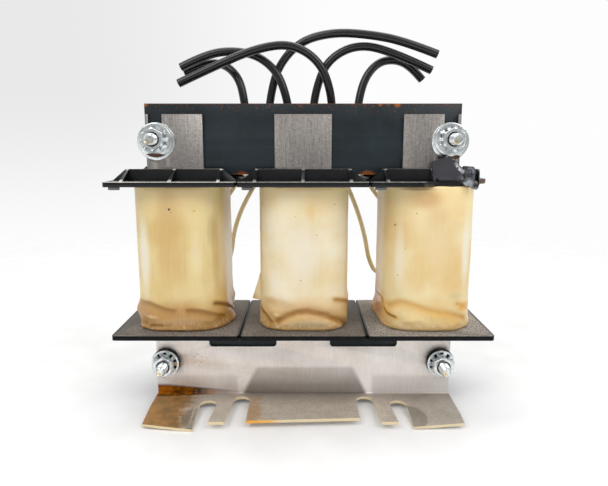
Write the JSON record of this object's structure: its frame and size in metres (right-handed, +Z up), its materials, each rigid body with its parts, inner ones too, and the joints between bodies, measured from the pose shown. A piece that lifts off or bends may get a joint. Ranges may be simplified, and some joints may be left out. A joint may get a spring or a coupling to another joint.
{
  "type": "three-phase line reactor",
  "caption": "Three-phase iron-core line reactor with paper-wrapped coils on black bobbins, bent steel foot brackets and stiff black leads.",
  "frame": {"origin": "on the standing surface, under the middle of the core", "axes": "+Z up along the legs of the core, +X along the row of coils, -Y the front with the nuts"},
  "size_m": [0.209, 0.1096, 0.2162],
  "materials": {
    "core_steel": "dark blue-black varnished laminations with rust along the edges",
    "bracket_steel": "plain satin sheet steel, mottled and rusty near the left foot",
    "zinc_plated_steel": "bright zinc plate",
    "bobbin_plastic": "black moulded nylon, dusty",
    "enamelled_copper": "enamelled copper wire",
    "wrap_paper": "varnished cream paper with amber stains",
    "lead_insulation": "black cable insulation, half gloss",
    "sleeving_cloth": "cream varnished glass sleeving",
    "insulation_board": "brown insulation board"
  },
  "bodies": {
    "root": {"bobbin_centre": "bobbin_plastic", "bobbin_left": "bobbin_plastic", "bobbin_right": "bobbin_plastic", "bolt_lower_left": "zinc_plated_steel", "bolt_lower_right": "zinc_plated_steel", "bolt_sleeve_lower_left": "insulation_board", "bolt_sleeve_lower_right": "insulation_board", "bolt_sleeve_upper_left": "insulation_board", "bolt_sleeve_upper_right": "insulation_board", "bolt_upper_left": "zinc_plated_steel", "bolt_upper_right": "zinc_plated_steel", "coil_wrap_centre": "wrap_paper", "coil_wrap_left": "wrap_paper", "coil_wrap_right": "wrap_paper", "core_legs": "core_steel", "flat_washer_upper_left": "zinc_plated_steel", "flat_washer_upper_right": "zinc_plated_steel", "front_bracket": "bracket_steel", "gap_spacer_centre": "insulation_board", "gap_spacer_left": "insulation_board", "gap_spacer_right": "insulation_board", "insulating_washer_lower_left": "bobbin_plastic", "insulating_washer_lower_right": "bobbin_plastic", "lead_a": "lead_insulation", "lead_b": "lead_insulation", "lead_c": "lead_insulation", "lead_d": "lead_insulation", "lead_e": "lead_insulation", "lead_f": "lead_insulation", "lock_washer_lower_left": "zinc_plated_steel", "lock_washer_lower_right": "zinc_plated_steel", "lock_washer_upper_left": "zinc_plated_steel", "lock_washer_upper_right": "zinc_plated_steel", "nut_lower_left": "zinc_plated_steel", "nut_lower_right": "zinc_plated_steel", "nut_upper_left": "zinc_plated_steel", "nut_upper_right": "zinc_plated_steel", "rear_bracket": "bracket_steel", "rear_washer_lower_left": "zinc_plated_steel", "rear_washer_lower_right": "zinc_plated_steel", "rear_washer_upper_left": "zinc_plated_steel", "rear_washer_upper_right": "zinc_plated_steel", "sleeving_centre_finish": "sleeving_cloth", "sleeving_centre_start": "sleeving_cloth", "sleeving_left_finish": "sleeving_cloth", "sleeving_left_start": "sleeving_cloth", "sleeving_right_finish": "sleeving_cloth", "sleeving_right_start": "sleeving_cloth", "upper_yoke": "core_steel", "wide_washer_upper_left": "zinc_plated_steel", "wide_washer_upper_right": "zinc_plated_steel", "winding_centre": "enamelled_copper", "winding_left": "enamelled_copper", "winding_right": "enamelled_copper"}
  },
  "joints": []
}
